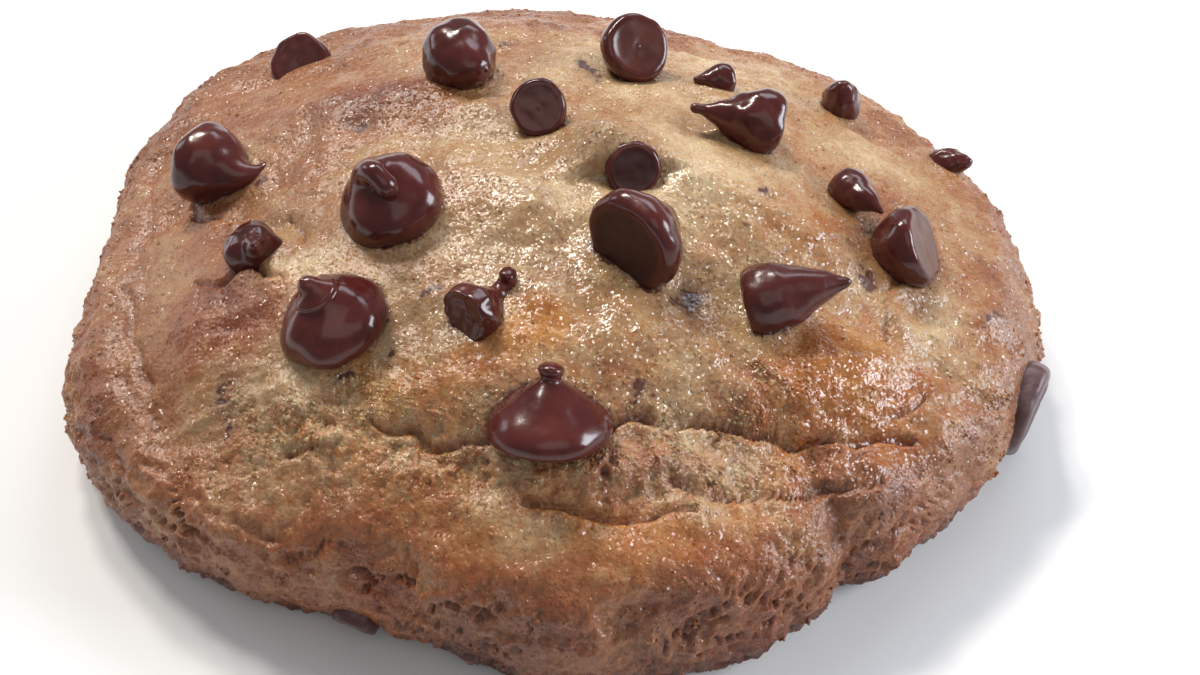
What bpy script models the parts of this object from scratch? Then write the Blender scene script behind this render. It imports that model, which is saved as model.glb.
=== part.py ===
"""A thick chocolate chip cookie, 100 mm across, resting on its flat underside.

The dough is one solid: a side profile carried round an uneven rim, with soft
mounds and folds on top and a fitted pocket under every chip. Each chip is a
drop with a flat base, turned from one profile and set at its own lean. Sizes
in the tables are in millimetres and degrees, and the scene is in metres.
"""

import math
from dataclasses import dataclass

import bmesh
import bpy
import numpy as np
from mathutils import Euler

MM = 0.001

# Driving dimensions of the dough.
COOKIE_RADIUS = 48.0
TOP_HEIGHT = 24.5
RIM_BAND = 0.06  # share of the radius over which the relief fades out at the edge

# Rim radius at equal steps round the cookie, anticlockwise from +X.
RIM_RADII = (50.0, 47.4, 45.4, 42.4, 44.8, 46.9, 52.8, 52.6, 49.2, 51.0, 47.1, 42.1, 44.5, 45.2, 45.8, 48.9)

# Side profile from the middle of the top to the middle of the underside:
# (share of the rim radius, height).
PROFILE = (
    (0.0, TOP_HEIGHT),
    (0.14, 24.4),
    (0.28, 23.7),
    (0.42, 22.4),
    (0.55, 20.5),
    (0.67, 18.1),
    (0.77, 15.8),
    (0.85, 14.2),
    (0.915, 12.9),
    (0.965, 10.8),
    (0.993, 8.0),
    (1.0, 5.2),
    (0.988, 2.6),
    (0.962, 0.9),
    (0.925, 0.15),
    (0.88, 0.0),
    (0.44, 0.0),
    (0.0, 0.0),
)
PROFILE_STEPS = 600
UNDERSIDE_SHARE = 0.3  # mesh density of the flat underside against the top
SPHERE_SUBDIVISIONS = 5

# How quickly a mound falls away from its middle, and the steps along a fold.
MOUND_SHARPNESS = 0.9
FOLD_STEPS = 50

# A break in the front rim: direction in degrees, half width, depth.
RIM_BREAK = (-53.0, 2.6, 2.2)


@dataclass(frozen=True)
class Mound:
    """A soft swelling of the top, or a hollow where the height is negative."""

    x: float
    y: float
    half_length: float
    half_width: float
    turn: float
    height: float


@dataclass(frozen=True)
class Fold:
    """A groove along a smooth line through a few points."""

    points: tuple
    half_width: float
    depth: float


@dataclass(frozen=True)
class Chip:
    """A chocolate drop: centre of its flat base, lift of that point over the
    dough, lean of its axis from vertical, the direction it leans to, and size."""

    x: float
    y: float
    lift: float
    lean: float
    toward: float
    width: float
    height: float


MOUNDS = (
    Mound(-21, 12, 13, 5, 8, 1.3),
    Mound(-30, -15, 7, 5.5, 20, 1.4),
    Mound(-23, -25, 6.5, 3.5, -10, 0.8),
    Mound(-4.5, -22, 7, 5, 55, 1.4),
    Mound(10.5, -22, 7.5, 6, 0, 1.5),
    Mound(15.5, -3, 5.5, 4.5, 0, 1.3),
    Mound(23, -5.5, 5, 5, 0, 0.9),
    Mound(24.5, -21.5, 6, 5, 0, 1.8),
    Mound(19, -25, 3.2, 3, 0, 1.2),
    Mound(5.6, 2.6, 5.5, 4.5, -20, 1.9),
    Mound(-4, -3.5, 5.5, 3.5, -20, 0.9),
    Mound(29, 3.5, 5, 9, 10, -0.9),
    Mound(20.5, -14.5, 6.5, 5, 5, -1.7),
    Mound(-9, 31, 17, 7, 0, 1.2),
    Mound(-28, 31.5, 4.5, 3, 20, -1.2),
    Mound(8, -37.5, 10, 4, 0, 0.9),
    Mound(-13, -33.5, 10, 4, -12, 0.7),
    Mound(28.5, -29.5, 8, 4.5, 35, 0.9),
    Mound(-45, -2, 4, 14, 0, 0.5),
    Mound(43, -5, 4, 14, 0, 0.5),
)

FOLDS = (
    Fold(((-43, 12), (-43, 5), (-42, -4.5), (-39, -15.5), (-35, -25), (-30.5, -29.5)), 2.4, 1.3),
    Fold(((-38, 3), (-31.5, -1.5), (-25.5, -5.5)), 2.0, 0.8),
    Fold(((1.5, -29.5), (13, -28), (26.5, -27.5), (33, -25)), 2.0, 1.5),
    Fold(((-19, -25.5), (-9.5, -29), (-4.5, -30)), 2.0, 1.3),
    Fold(((-6, -32), (4.5, -35), (16, -33), (27, -30.5)), 2.0, 1.0),
)

# The pieces of chocolate that show, from the back of the cookie to its front.
CHIPS = {
    "chip_back_left": Chip(-30.0, 26.4, 0.6, 147, 84, 7.0, 5.4),
    "chip_back_lying": Chip(-11.4, 17.5, 2.0, 76, -60, 7.8, 7.6),
    "chip_back_flat": Chip(8.4, 17.6, 3.4, 139, 123, 7.5, 6.4),
    "chip_small_flat": Chip(-1.8, 5.4, 2.2, 134, 89, 5.7, 4.8),
    "chip_small_back": Chip(18.0, 17.0, 0.4, 70, -163, 4.0, 4.2),
    "chip_drawn_tip": Chip(22.1, 6.5, 1.9, 72, 179, 7.0, 9.2),
    "chip_upright_back": Chip(31.0, 19.3, -0.3, 8, -120, 4.4, 4.6),
    "chip_rim_back": Chip(41.0, 13.5, -0.8, 65, -27, 3.4, 4.4),
    "chip_left_lying": Chip(-37.6, 6.9, 2.4, 86, -28, 8.7, 9.2),
    "chip_centre_left": Chip(-14.8, -5.4, -0.9, 22, -170, 10.3, 7.6),
    "chip_small_left": Chip(-29.0, -7.5, -0.4, 39, -68, 5.6, 5.2),
    "chip_left": Chip(-19.4, -17.7, -0.9, 17, 178, 10.3, 7.2),
    "chip_small_curled": Chip(-7.8, -19.7, 1.6, 104, 50, 5.4, 6.6),
    "chip_front": Chip(-0.1, -28.6, -0.4, 25, 85, 11.2, 6.3),
    "chip_centre_flat": Chip(6.6, -13.6, 2.8, 96, 50, 9.8, 7.2),
    "chip_hollow": Chip(17.7, -15.6, 0.7, 72, 2, 7.0, 9.8),
    "chip_right_flat": Chip(35.8, -6.3, 2.9, 123, 166, 8.0, 5.6),
    "chip_small_right": Chip(28.6, 1.7, 0.7, 72, -62, 4.2, 6.8),
    "chip_covered": Chip(7.6, -3.0, 1.2, 128, 97, 5.4, 4.6),
    "chip_side_right": Chip(47.4, -16.4, 0.2, 88, 150, 10.0, 5.0),
    "chip_side_front": Chip(-18.0, -38.6, -2.7, 62, 66, 4.2, 3.8),
}

# Turned profile of a chip, tip to base: (share of its radius, share of its height).
CHIP_PROFILE = ((0.0, 1.0), (0.15, 0.95), (0.27, 0.79), (0.62, 0.58), (0.92, 0.34), (1.0, 0.16), (0.9, 0.0), (0.0, 0.0))
SMALL_CHIP_PROFILE = ((0.0, 1.0), (0.2, 0.88), (0.62, 0.58), (0.96, 0.3), (0.98, 0.1), (0.85, 0.0), (0.0, 0.0))
SMALL_CHIP_WIDTH = 6.0
CHIP_SIDES = 14
SMALL_CHIP_SIDES = 11
POCKET_GAP = 0.3  # between a chip and the dough round it
MERGE_DISTANCE = 0.00001  # metres, joins the points of a turned profile on its axis

# Principled material values: colour, roughness, metallic.
DOUGH_LOOK = ((0.353, 0.209, 0.127, 1.0), 0.7, 0.0)
CHOCOLATE_LOOK = ((0.045, 0.017, 0.016, 1.0), 0.28, 0.0)


def curve_through(points, spots):
    """Catmull-Rom curve through the points, read at spots from 0 to 1."""
    rows = np.asarray(points, float)
    along = np.asarray(spots) * (len(rows) - 1)
    before = np.clip(np.floor(along).astype(int), 0, len(rows) - 2)
    part = (along - before)[..., None]
    start = rows[before]
    end = rows[before + 1]
    past_start = rows[np.maximum(before - 1, 0)]
    past_end = rows[np.minimum(before + 2, len(rows) - 1)]
    linear = end - past_start
    square = 2 * past_start - 5 * start + 4 * end - past_end
    cube = 3 * start - past_start - 3 * end + past_end
    return 0.5 * (2 * start + linear * part + square * part**2 + cube * part**3)


def rim_radius(angle):
    """Radius of the rim in a direction, smooth all the way round, with its break."""
    looped = RIM_RADII[-1:] + RIM_RADII + RIM_RADII[:2]
    turn = np.mod(angle, 2 * math.pi) / (2 * math.pi) * len(RIM_RADII)
    smooth = curve_through([[radius] for radius in looped], (turn + 1) / (len(looped) - 1))[..., 0]
    direction, half_width, depth = RIM_BREAK
    off = np.angle(np.exp(1j * (angle - math.radians(direction)))) * COOKIE_RADIUS
    return smooth - depth * np.exp(-((off / half_width) ** 2))


def side_profile():
    """Fine points of the side profile, with the underside kept flat."""
    rows = curve_through(PROFILE, np.linspace(0, 1, PROFILE_STEPS))
    return rows[:, 0], np.maximum(rows[:, 1], 0.0)


def relief(x, y):
    """Height that the mounds and folds add to the plain top at x, y."""
    height = np.zeros_like(x)
    for mound in MOUNDS:
        turn = math.radians(mound.turn)
        along = (x - mound.x) * math.cos(turn) + (y - mound.y) * math.sin(turn)
        across = (y - mound.y) * math.cos(turn) - (x - mound.x) * math.sin(turn)
        spread = (along / mound.half_length) ** 2 + (across / mound.half_width) ** 2
        height = height + mound.height * np.exp(-MOUND_SHARPNESS * spread)
    for fold in FOLDS:
        line = curve_through(fold.points, np.linspace(0, 1, FOLD_STEPS))
        squared = (x[..., None] - line[:, 0]) ** 2 + (y[..., None] - line[:, 1]) ** 2
        height = height - fold.depth * np.exp(-squared.min(axis=-1) / fold.half_width**2)
    return height


def top_height(x, y):
    """Height of the top of the dough at one point."""
    shares, heights = side_profile()
    outward = shares.argmax()
    share = math.hypot(x, y) / float(rim_radius(np.array(math.atan2(y, x))))
    plain = np.interp(share, shares[: outward + 1], heights[: outward + 1])
    fade = min(max((1 - share) / RIM_BAND, 0.0), 1.0)
    return float(plain + fade * relief(np.array(x), np.array(y)))


def profile_spread():
    """For each profile point, the share of the mesh that lies above it."""
    shares, heights = side_profile()
    radii = shares * COOKIE_RADIUS
    steps = np.hypot(np.diff(radii), np.diff(heights))
    bands = steps * (radii[1:] + radii[:-1])
    under = (heights[1:] <= 0) & (np.diff(shares) < 0)
    bands = np.where(under, bands * UNDERSIDE_SHARE, bands)
    total = np.concatenate([[0.0], np.cumsum(bands)])
    return shares, heights, total / total[-1]


def new_material(name, look):
    colour, roughness, metallic = look
    material = bpy.data.materials.new(name)
    material.use_nodes = True
    shader = material.node_tree.nodes["Principled BSDF"]
    shader.inputs["Base Color"].default_value = colour
    shader.inputs["Roughness"].default_value = roughness
    shader.inputs["Metallic"].default_value = metallic
    material.diffuse_color = colour
    return material


def make_dough(collection, parent, material):
    """The dough without its pockets: a sphere's points carried onto the profile and rim."""
    mesh = bpy.data.meshes.new("dough")
    shape = bmesh.new()
    bmesh.ops.create_icosphere(shape, subdivisions=SPHERE_SUBDIVISIONS, radius=1.0)
    ball = np.array([vertex.co for vertex in shape.verts])
    shares, heights, spread = profile_spread()
    place = (1 - ball[:, 2] / np.linalg.norm(ball, axis=1)) / 2
    share = np.interp(place, spread, shares)
    height = np.interp(place, spread, heights)
    angle = np.arctan2(ball[:, 1], ball[:, 0])
    radius = share * rim_radius(angle)
    x = radius * np.cos(angle)
    y = radius * np.sin(angle)
    outermost = spread[shares.argmax()]
    fade = np.clip((1 - share) / RIM_BAND, 0, 1) * (place < outermost)
    height = height + fade * relief(x, y)
    for vertex, *point in zip(shape.verts, x, y, height):
        vertex.co = [value * MM for value in point]
    bmesh.ops.recalc_face_normals(shape, faces=shape.faces)
    shape.to_mesh(mesh)
    shape.free()
    mesh.shade_smooth()
    mesh.materials.append(material)
    dough = bpy.data.objects.new("dough", mesh)
    dough.parent = parent
    collection.objects.link(dough)
    return dough


def make_drop(name, chip, grow, collection, parent):
    """A chip turned from its profile, or its pocket where grow adds a gap all round."""
    small = chip.width < SMALL_CHIP_WIDTH
    profile = SMALL_CHIP_PROFILE if small else CHIP_PROFILE
    radius = chip.width / 2 + grow
    tall = chip.height + 2 * grow
    points = [(share * radius * MM, 0.0, (level * tall - grow) * MM) for share, level in profile]
    mesh = bpy.data.meshes.new(name)
    mesh.from_pydata(points, [(i, i + 1) for i in range(len(points) - 1)], [])
    drop = bpy.data.objects.new(name, mesh)
    screw = drop.modifiers.new("turn", "SCREW")
    screw.axis = "Z"
    screw.steps = SMALL_CHIP_SIDES if small else CHIP_SIDES
    screw.render_steps = screw.steps
    screw.use_merge_vertices = True
    screw.merge_threshold = MERGE_DISTANCE
    screw.use_smooth_shade = True
    drop.location = (chip.x * MM, chip.y * MM, (top_height(chip.x, chip.y) + chip.lift) * MM)
    drop.rotation_euler = Euler((0.0, math.radians(chip.lean), math.radians(chip.toward)))
    drop.parent = parent
    collection.objects.link(drop)
    return drop


def cut_pocket(dough, name, chip, cutters, parent):
    pocket = make_drop(name + "_pocket", chip, POCKET_GAP, cutters, parent)
    pocket.hide_render = True
    pocket.display_type = "WIRE"
    cut = dough.modifiers.new(name, "BOOLEAN")
    cut.operation = "DIFFERENCE"
    cut.solver = "EXACT"
    cut.object = pocket


def new_collection(name, hidden=False):
    collection = bpy.data.collections.new(name)
    collection.hide_render = hidden
    bpy.context.scene.collection.children.link(collection)
    return collection


def main():
    for thing in list(bpy.data.objects):
        bpy.data.objects.remove(thing, do_unlink=True)
    pieces = new_collection("chocolate chip cookie")
    cutters = new_collection("cutters", hidden=True)
    cookie = bpy.data.objects.new("cookie", None)
    pieces.objects.link(cookie)
    dough = make_dough(pieces, cookie, new_material("dough", DOUGH_LOOK))
    for name, chip in CHIPS.items():
        drop = make_drop(name, chip, 0.0, pieces, cookie)
        drop.data.materials.append(new_material(name, CHOCOLATE_LOOK))
        cut_pocket(dough, name, chip, cutters, cookie)


main()
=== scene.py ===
"""Looks of the chocolate chip cookie: baked dough, chocolate drops and crumbs.

Shapes are worked out in millimetres with numpy and written to the mesh in metres.
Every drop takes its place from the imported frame. The dough repeats the form of the
CAD solid and adds the baked surface to it.
"""

import itertools
import logging
import math
from dataclasses import dataclass, field
from enum import Enum
from typing import Any

import bmesh
import bpy
import numpy as np
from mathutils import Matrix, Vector


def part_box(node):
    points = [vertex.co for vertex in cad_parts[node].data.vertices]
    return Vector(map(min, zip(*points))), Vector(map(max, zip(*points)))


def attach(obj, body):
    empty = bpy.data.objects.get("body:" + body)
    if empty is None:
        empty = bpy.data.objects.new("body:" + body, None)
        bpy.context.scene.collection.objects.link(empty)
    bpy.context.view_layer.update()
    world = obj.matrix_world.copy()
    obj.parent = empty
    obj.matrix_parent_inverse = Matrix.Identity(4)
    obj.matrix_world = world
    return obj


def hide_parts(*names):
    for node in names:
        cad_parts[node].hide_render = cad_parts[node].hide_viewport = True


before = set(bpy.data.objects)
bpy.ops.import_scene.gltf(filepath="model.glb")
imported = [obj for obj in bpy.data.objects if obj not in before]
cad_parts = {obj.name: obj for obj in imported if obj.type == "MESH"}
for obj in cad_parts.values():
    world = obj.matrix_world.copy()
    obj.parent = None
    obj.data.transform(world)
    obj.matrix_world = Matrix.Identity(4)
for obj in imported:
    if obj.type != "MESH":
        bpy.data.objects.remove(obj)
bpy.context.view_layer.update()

LOG = logging.getLogger("cookie")
MM = 0.001
FAR = 9.0
MERGE = 1e-6


# ---------------------------------------------------------------- numbers over arrays


def smooth_step(low: float, high: float, value: np.ndarray) -> np.ndarray:
    """Rises smoothly from 0 at low to 1 at high: 3t^2 - 2t^3.

    Args:
        low: where the rise starts; it may be above high for a fall.
        high: where the rise ends.
        value: the numbers to look at.

    Returns:
        The share of the rise at each number.
    """
    part = np.clip((value - low) / (high - low), 0.0, 1.0)
    return part * part * (3.0 - 2.0 * part)


def curve_through(points: Any, spots: np.ndarray) -> np.ndarray:
    """Catmull-Rom curve: a cubic between neighbours, with slopes from the next ones.

    Args:
        points: rows of coordinates that the curve passes through.
        spots: places along it, from 0 at the first point to 1 at the last.

    Returns:
        One row of coordinates for each spot.
    """
    rows = np.asarray(points, float)
    along = np.asarray(spots) * (len(rows) - 1)
    before = np.clip(np.floor(along).astype(int), 0, len(rows) - 2)
    part = (along - before)[..., None]
    start = rows[before]
    end = rows[before + 1]
    past_start = rows[np.maximum(before - 1, 0)]
    past_end = rows[np.minimum(before + 2, len(rows) - 1)]
    linear = end - past_start
    square = 2 * past_start - 5 * start + 4 * end - past_end
    cube = 3 * start - past_start - 3 * end + past_end
    return 0.5 * (2 * start + linear * part + square * part**2 + cube * part**3)


def even_steps(points: np.ndarray, count: int) -> np.ndarray:
    """The same line with its points spread evenly along its length.

    Args:
        points: rows of coordinates along the line.
        count: number of points wanted.

    Returns:
        The new rows, first and last kept.
    """
    lengths = np.linalg.norm(np.diff(points, axis=0), axis=1)
    along = np.concatenate([[0.0], np.cumsum(lengths)])
    wanted = np.linspace(0.0, along[-1], count)
    return np.stack([np.interp(wanted, along, column) for column in points.T], axis=-1)


def away_from_line(points: np.ndarray, line: np.ndarray) -> np.ndarray:
    """Distance of each point from the nearest place on a line of straight pieces.

    Args:
        points: rows of x, y.
        line: corners of the line, as rows of x, y.

    Returns:
        One distance for each point.
    """
    step = np.diff(line, axis=0)
    start = points[:, None, :] - line[:-1]
    along = np.clip((start * step).sum(axis=-1) / (step**2).sum(axis=-1), 0.0, 1.0)
    return np.linalg.norm(start - along[..., None] * step, axis=-1).min(axis=1)


def unit(vectors: np.ndarray) -> np.ndarray:
    """Each row divided by its length."""
    return vectors / np.maximum(np.linalg.norm(vectors, axis=-1, keepdims=True), 1e-12)


class Noise:
    """Seeded gradient noise and cell noise over points in space."""

    def __init__(self, seed: int) -> None:
        """Draws the tables that every later value comes from."""
        draw = np.random.default_rng(seed)
        self.order = draw.permutation(256)
        self.slopes = unit(draw.normal(size=(256, 3)))
        self.spots = draw.random((256, 3))
        self.levels = draw.random(256)

    def _entry(self, cell: np.ndarray) -> np.ndarray:
        """Table entry of each whole-number cell."""
        first = self.order[cell[..., 0] & 255]
        second = self.order[(first + cell[..., 1]) & 255]
        return self.order[(second + cell[..., 2]) & 255]

    def gradient(self, points: np.ndarray) -> np.ndarray:
        """Blend of the eight corner slopes round each point, with a quintic fade.

        Args:
            points: rows of x, y, z in units of the noise's grain.

        Returns:
            Values from about -1 to 1.
        """
        base = np.floor(points).astype(int)
        part = points - base
        fade = part**3 * (part * (part * 6.0 - 15.0) + 10.0)
        total = np.zeros(points.shape[:-1])
        for corner in itertools.product((0, 1), repeat=3):
            offset = np.array(corner)
            slope = self.slopes[self._entry(base + offset)]
            weight = np.prod(np.where(offset, fade, 1.0 - fade), axis=-1)
            total += weight * ((part - offset) * slope).sum(axis=-1)
        return 1.6 * total

    def octaves(self, points: np.ndarray, count: int) -> np.ndarray:
        """Sum of gradient noise, each layer about twice as fine and half as strong.

        Args:
            points: rows of x, y, z in units of the coarsest grain.
            count: number of layers.

        Returns:
            Values from about -1.5 to 1.5.
        """
        total = np.zeros(points.shape[:-1])
        for layer in range(count):
            total += 0.5**layer * self.gradient(points * 2.03**layer + 17.3 * layer)
        return total

    def cells(self, points: np.ndarray) -> tuple[np.ndarray, np.ndarray]:
        """Distances to the scattered spots, one in each unit cell.

        Args:
            points: rows of x, y, z in units of the cell's side.

        Returns:
            Nearest distance, and the nearest spot's own level.
        """
        base = np.floor(points).astype(int)
        nearest = np.full(points.shape[:-1], FAR)
        level = np.zeros(points.shape[:-1])
        for corner in itertools.product((-1, 0, 1), repeat=3):
            cell = base + np.array(corner)
            entry = self._entry(cell)
            away = np.linalg.norm(cell + self.spots[entry] - points, axis=-1)
            closer = away < nearest
            level = np.where(closer, self.levels[entry], level)
            nearest = np.where(closer, away, nearest)
        return nearest, level


# ---------------------------------------------------------------- meshes


def linear_colour(red: float, green: float, blue: float) -> tuple[float, float, float, float]:
    """A display colour of 0 to 255 a channel as the linear values that shaders take."""
    shares = [channel / 255.0 for channel in (red, green, blue)]
    bright = [s / 12.92 if s <= 0.04045 else ((s + 0.055) / 1.055) ** 2.4 for s in shares]
    return (bright[0], bright[1], bright[2], 1.0)


def new_piece(
    name: str,
    points: np.ndarray,
    faces: list[np.ndarray],
    tones: dict[str, np.ndarray] | None = None,
) -> bpy.types.Object:
    """Makes a smooth-shaded mesh object at the origin.

    Args:
        name: name of the piece.
        points: rows of x, y, z in millimetres.
        faces: arrays of corner numbers, each array with one face size.
        tones: values for each point, kept as float attributes for the finish to read.

    Returns:
        The new object, linked to the scene.
    """
    mesh = bpy.data.meshes.new(name)
    mesh.vertices.add(len(points))
    mesh.vertices.foreach_set("co", (points * MM).astype(np.float32).ravel())
    sizes = np.concatenate([np.full(len(part), part.shape[1]) for part in faces])
    corners = np.concatenate([part.ravel() for part in faces])
    starts = np.concatenate([[0], np.cumsum(sizes)[:-1]])
    mesh.loops.add(len(corners))
    mesh.loops.foreach_set("vertex_index", corners.astype(np.int32))
    mesh.polygons.add(len(sizes))
    mesh.polygons.foreach_set("loop_start", starts.astype(np.int32))
    mesh.update(calc_edges=True)
    mesh.validate()
    mesh.shade_smooth()
    for tone, values in (tones or {}).items():
        attribute = mesh.attributes.new(tone, "FLOAT", "POINT")
        attribute.data.foreach_set("value", values.astype(np.float32))
    piece = bpy.data.objects.new(name, mesh)
    bpy.context.scene.collection.objects.link(piece)
    return piece


def grid_faces(rows: int, columns: int, around: bool) -> np.ndarray:
    """Corner numbers of the quads between the points of a grid, row by row.

    Args:
        rows: number of rows of points.
        columns: number of points in each row.
        around: whether the last column joins the first.

    Returns:
        Four corner numbers a row, anticlockwise where columns run right and rows run up.
    """
    index = np.arange(rows * columns).reshape(rows, columns)
    if around:
        index = np.concatenate([index, index[:, :1]], axis=1)
    low, high = index[:-1], index[1:]
    return np.stack([low[:, :-1], low[:, 1:], high[:, 1:], high[:, :-1]], axis=-1).reshape(-1, 4)


# ---------------------------------------------------------------- shaders


class Value:
    """A shader number that takes part in Python expressions."""

    def __init__(self, graph: "Graph", socket: bpy.types.NodeSocket) -> None:
        """Keeps the socket and the graph that it belongs to."""
        self.graph = graph
        self.socket = socket

    def __add__(self, other: Any) -> "Value":
        """Sum."""
        return self.graph.maths("ADD", self, other)

    def __sub__(self, other: Any) -> "Value":
        """Difference."""
        return self.graph.maths("SUBTRACT", self, other)

    def __rsub__(self, other: Any) -> "Value":
        """Difference, with this value taken away."""
        return self.graph.maths("SUBTRACT", other, self)

    def __mul__(self, other: Any) -> "Value":
        """Product."""
        return self.graph.maths("MULTIPLY", self, other)

    __radd__ = __add__
    __rmul__ = __mul__

    def rise(self, low: float, high: float) -> "Value":
        """Smooth rise from 0 at low to 1 at high."""
        settings = {"interpolation_type": "SMOOTHSTEP"}
        node = self.graph.add("ShaderNodeMapRange", settings, {0: self, 1: low, 2: high})
        return Value(self.graph, node.outputs[0])


class Graph:
    """A material under construction: one Principled shader and what feeds it."""

    def __init__(self, name: str) -> None:
        """Makes the material and finds its shader."""
        self.material = bpy.data.materials.new(name)
        self.material.use_nodes = True
        self.tree = self.material.node_tree
        self.shader = self.tree.nodes["Principled BSDF"]
        self.place = self.add("ShaderNodeTexCoord").outputs["Object"]

    def add(
        self, kind: str, settings: dict[str, Any] | None = None, inputs: dict[Any, Any] | None = None
    ) -> bpy.types.Node:
        """Adds a node: its settings first, then its sockets.

        Args:
            kind: the node's type.
            settings: properties of the node; "stops" holds a ramp's (place, colour) pairs.
            inputs: socket name or number to a constant, a socket or a Value.

        Returns:
            The new node.
        """
        node = self.tree.nodes.new(kind)
        for key, setting in (settings or {}).items():
            if key == "stops":
                self._set_stops(node.color_ramp, setting)
            else:
                setattr(node, key, setting)
        for key, source in (inputs or {}).items():
            self.feed(node.inputs[key], source)
        return node

    @staticmethod
    def _set_stops(ramp: bpy.types.ColorRamp, stops: list[tuple[float, tuple]]) -> None:
        """Gives a ramp its stops."""
        while len(ramp.elements) < len(stops):
            ramp.elements.new(0.5)
        for element, (place, colour) in zip(ramp.elements, stops):
            element.position = place
            element.color = colour

    def feed(self, target: bpy.types.NodeSocket, source: Any) -> None:
        """Links a socket or a Value to a socket, or sets a constant on it."""
        if isinstance(source, Value):
            self.tree.links.new(source.socket, target)
        elif isinstance(source, bpy.types.NodeSocket):
            self.tree.links.new(source, target)
        else:
            target.default_value = source

    def maths(self, operation: str, *values: Any) -> Value:
        """A Math node on up to three values."""
        node = self.add("ShaderNodeMath", {"operation": operation}, dict(enumerate(values)))
        return Value(self, node.outputs[0])

    def vectors(self, operation: str, *values: Any) -> bpy.types.NodeSocket:
        """A Vector Math node's vector output."""
        node = self.add("ShaderNodeVectorMath", {"operation": operation})
        slots = [slot for slot in node.inputs if slot.enabled]
        for slot, value in zip(slots, values):
            self.feed(slot, value)
        return node.outputs[0]

    def attribute(self, name: str) -> Value:
        """A tone that was stored on the mesh's points."""
        node = self.add("ShaderNodeAttribute", {"attribute_name": name})
        return Value(self, node.outputs["Fac"])

    def noise(self, grain: float, detail: float = 2.0, rough: float = 0.55, shift: float = 0.0) -> Value:
        """Noise of about 0 to 1 with bumps of a size in millimetres."""
        place = self.vectors("ADD", self.place, (shift, shift, shift)) if shift else self.place
        inputs = {"Vector": place, "Scale": 0.5 / (grain * MM), "Detail": detail, "Roughness": rough}
        return Value(self, self.add("ShaderNodeTexNoise", {}, inputs).outputs[0])

    def cells(self, size: float, output: str) -> bpy.types.NodeSocket:
        """Voronoi cells of a size in millimetres."""
        inputs = {"Vector": self.place, "Scale": 1.0 / (size * MM)}
        return self.add("ShaderNodeTexVoronoi", {}, inputs).outputs[output]

    def ramp(self, factor: Value, stops: list[tuple[float, tuple]]) -> bpy.types.NodeSocket:
        """Colour read from stops by a value."""
        return self.add("ShaderNodeValToRGB", {"stops": stops}, {0: factor}).outputs[0]

    def blend(self, factor: Any, low: Any, high: Any, kind: str = "MIX") -> bpy.types.NodeSocket:
        """Colour between low and high, or high applied to low in another blend kind."""
        settings = {"data_type": "RGBA", "blend_type": kind, "clamp_factor": True}
        node = self.add("ShaderNodeMix", settings, {0: factor, 6: low, 7: high})
        return node.outputs[2]

    def bump(self, height: Value) -> bpy.types.NodeSocket:
        """Bumped normal from a height in millimetres."""
        inputs = {"Height": height, "Distance": MM, "Strength": 1.0}
        return self.add("ShaderNodeBump", {}, inputs).outputs[0]

    def finish(self, constants: dict[str, Any], **links: Any) -> bpy.types.Material:
        """Sets the shader's constants, then links what changes over the surface."""
        for name, constant in constants.items():
            self.shader.inputs[name].default_value = constant
        for name, link in links.items():
            self.feed(self.shader.inputs[name.replace("_", " ")], link)
        return self.material


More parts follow.
